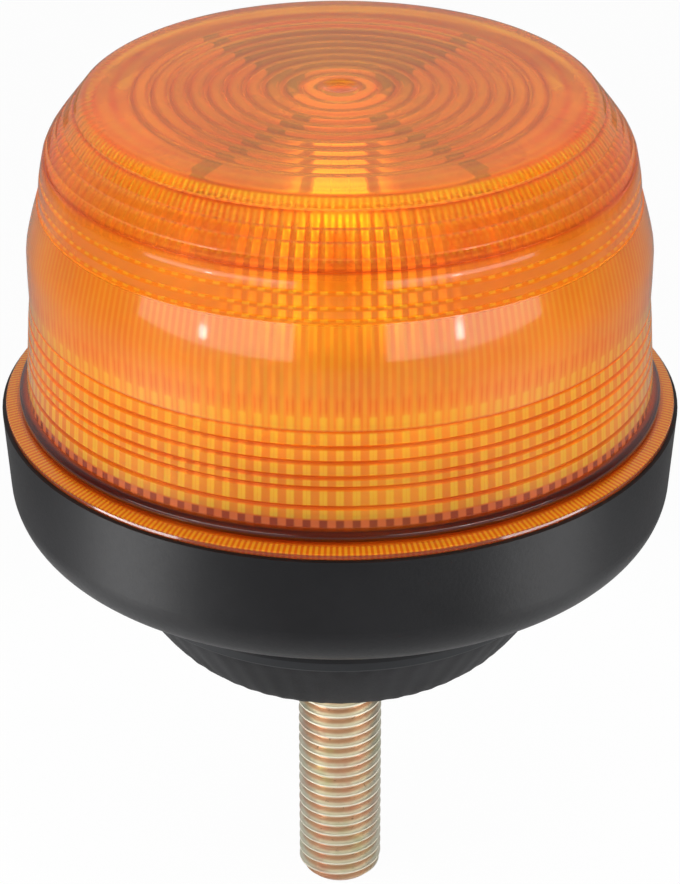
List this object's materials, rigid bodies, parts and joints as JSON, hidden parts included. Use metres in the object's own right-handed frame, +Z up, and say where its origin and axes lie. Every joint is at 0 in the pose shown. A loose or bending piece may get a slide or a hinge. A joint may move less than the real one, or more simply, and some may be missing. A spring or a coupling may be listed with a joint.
{
  "type": "rotating_beacon",
  "caption": "Amber rotating warning beacon for machines and vehicles: ringed lens over a turning mirror cage, black bowl base on a rubber foot, single threaded stud below, gear motor drive",
  "frame": {"origin": "on the stud's axis in the seat plane, the underside of the rubber foot", "axes": "+Z up along the stud and rotor axis, -Y towards the viewer of the picture, +X to the viewer's right"},
  "size_m": [0.108, 0.108, 0.1451],
  "materials": {
    "stud_zinc": "satin",
    "plain_steel": "satin",
    "foot_rubber": "matte",
    "base_plastic": "satin",
    "amber_lens": "gloss",
    "deck_steel": "satin",
    "post_aluminium": "satin",
    "gear_acetal": "matte",
    "bearing_bronze": "satin",
    "cage_reflector": "gloss",
    "dark_plastic": "matte",
    "pale_plastic": "matte",
    "led_phosphor": "gloss",
    "board_green": "satin",
    "lead_insulation": "satin"
  },
  "bodies": {
    "root": {"mounting_bolt": "stud_zinc", "bolt_washer": "plain_steel", "bolt_locknut": "plain_steel", "mounting_pad": "foot_rubber", "base_housing": "base_plastic", "cable_grommet": "foot_rubber", "dome_seal": "foot_rubber", "chassis_plate": "deck_steel", "chassis_screws": "plain_steel", "lamp_post": "post_aluminium", "post_screws": "plain_steel", "thrust_washer": "gear_acetal", "retaining_ring": "plain_steel", "lamp_head": "post_aluminium", "led_boards": "pale_plastic", "led_chips": "led_phosphor", "motor_can": "deck_steel", "motor_magnets": "dark_plastic", "motor_bush": "bearing_bronze", "motor_end_cap": "dark_plastic", "motor_terminals": "bearing_bronze", "motor_screws": "plain_steel", "driver_board": "board_green", "board_screws": "plain_steel", "filter_capacitors": "dark_plastic", "choke": "dark_plastic", "regulator": "dark_plastic", "driver_chips": "dark_plastic", "terminal_block": "board_green", "lamp_leads": "lead_insulation", "motor_leads": "lead_insulation"},
    "rotor": {"rotor_bush": "bearing_bronze", "drive_gear": "gear_acetal", "turntable": "dark_plastic", "reflector_cage": "cage_reflector", "vane_strips": "dark_plastic", "hub_cap": "pale_plastic", "rear_shade": "dark_plastic", "balance_weight": "plain_steel", "cage_screws": "plain_steel"},
    "drive": {"motor_shaft": "plain_steel", "motor_armature": "deck_steel", "pinion": "gear_acetal"},
    "dome": {"dome_lens": "amber_lens"}
  },
  "joints": [
    {"name": "rotor_spin", "type": "hinge", "parent": "root", "child": "rotor", "pos_m": [0, 0, 0.0485], "axis": [0, 0, 1], "continuous": true},
    {"name": "pinion_spin", "type": "hinge", "parent": "root", "child": "drive", "pos_m": [0, 0.0331, 0.044], "axis": [0, 0, 1], "continuous": true},
    {"name": "dome_twist", "type": "hinge", "parent": "root", "child": "dome", "pos_m": [0, 0, 0.044], "axis": [0, 0, 1], "range_deg": [0, 40]}
  ],
  "couplings": [
    {"joint": "pinion_spin", "follows": "rotor_spin", "ratio": -4.5}
  ]
}
